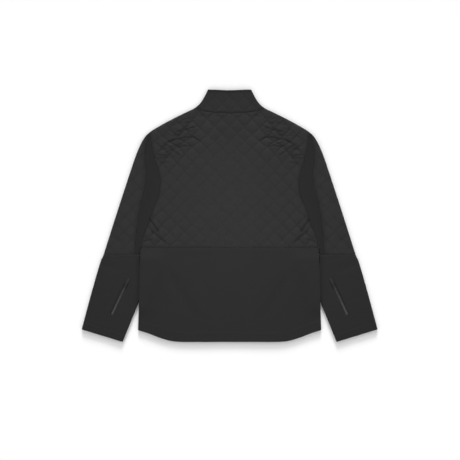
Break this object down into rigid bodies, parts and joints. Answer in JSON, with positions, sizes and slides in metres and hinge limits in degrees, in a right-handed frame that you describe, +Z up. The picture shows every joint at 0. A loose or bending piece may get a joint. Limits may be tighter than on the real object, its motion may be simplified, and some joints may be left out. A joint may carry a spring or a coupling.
{
  "type": "softshell jacket",
  "caption": "Zipped softshell jacket laid flat, back up: diamond-quilted body and upper sleeves, plain lower back and forearms, stand collar, zipped cuffs. Outerwear against wind and cold.",
  "frame": {"origin": "centre of the bounding box, on the surface that the jacket lies on", "axes": "+Y towards the collar, +X towards the wearer's right sleeve, +Z up out of the jacket's back"},
  "size_m": [0.9064, 0.7725, 0.015],
  "materials": {
    "quilted_shell": "near-black quilted shell cloth, faint sheen, straight stitched diamonds",
    "softshell": "near-black plain softshell, matt",
    "zip_tape": "dark grey woven zip tape, slight sheen",
    "zip_teeth": "black moulded teeth",
    "zip_slider": "black painted slider and pull tab, semi-gloss"
  },
  "bodies": {
    "jacket": {"back_quilted": "quilted_shell", "front_quilted_left": "quilted_shell", "front_quilted_right": "quilted_shell", "collar": "quilted_shell", "sleeve_quilted_left": "quilted_shell", "sleeve_quilted_right": "quilted_shell", "back_lower": "softshell", "front_lower_left": "softshell", "front_lower_right": "softshell", "underarm_panel_left": "softshell", "underarm_panel_right": "softshell", "sleeve_lower_left": "softshell", "sleeve_lower_right": "softshell", "front_zip_tape_left": "zip_tape", "front_zip_tape_right": "zip_tape", "sleeve_zip_left": "zip_tape", "sleeve_zip_right": "zip_tape", "front_zip_chain": "zip_teeth", "front_zip_slider": "zip_slider", "sleeve_zip_slider_left": "zip_slider", "sleeve_zip_slider_right": "zip_slider"},
    "front_zip_pull": {"front_zip_pull": "zip_slider"},
    "sleeve_zip_pull_left": {"sleeve_zip_pull_left": "zip_slider"},
    "sleeve_zip_pull_right": {"sleeve_zip_pull_right": "zip_slider"}
  },
  "joints": [
    {"name": "front_pull_swing", "type": "hinge", "parent": "jacket", "child": "front_zip_pull", "pos_m": [0, 0.3029, 0.00139], "axis": [1, 0, 0], "range_deg": [0, 165]},
    {"name": "left_sleeve_pull_swing", "type": "hinge", "parent": "jacket", "child": "sleeve_zip_pull_left", "pos_m": [-0.31796, -0.21191, 0.0096], "axis": [0.9062, -0.4229, 0], "range_deg": [0, 165]},
    {"name": "right_sleeve_pull_swing", "type": "hinge", "parent": "jacket", "child": "sleeve_zip_pull_right", "pos_m": [0.31796, -0.21191, 0.0096], "axis": [0.9062, 0.4229, 0], "range_deg": [0, 165]}
  ]
}
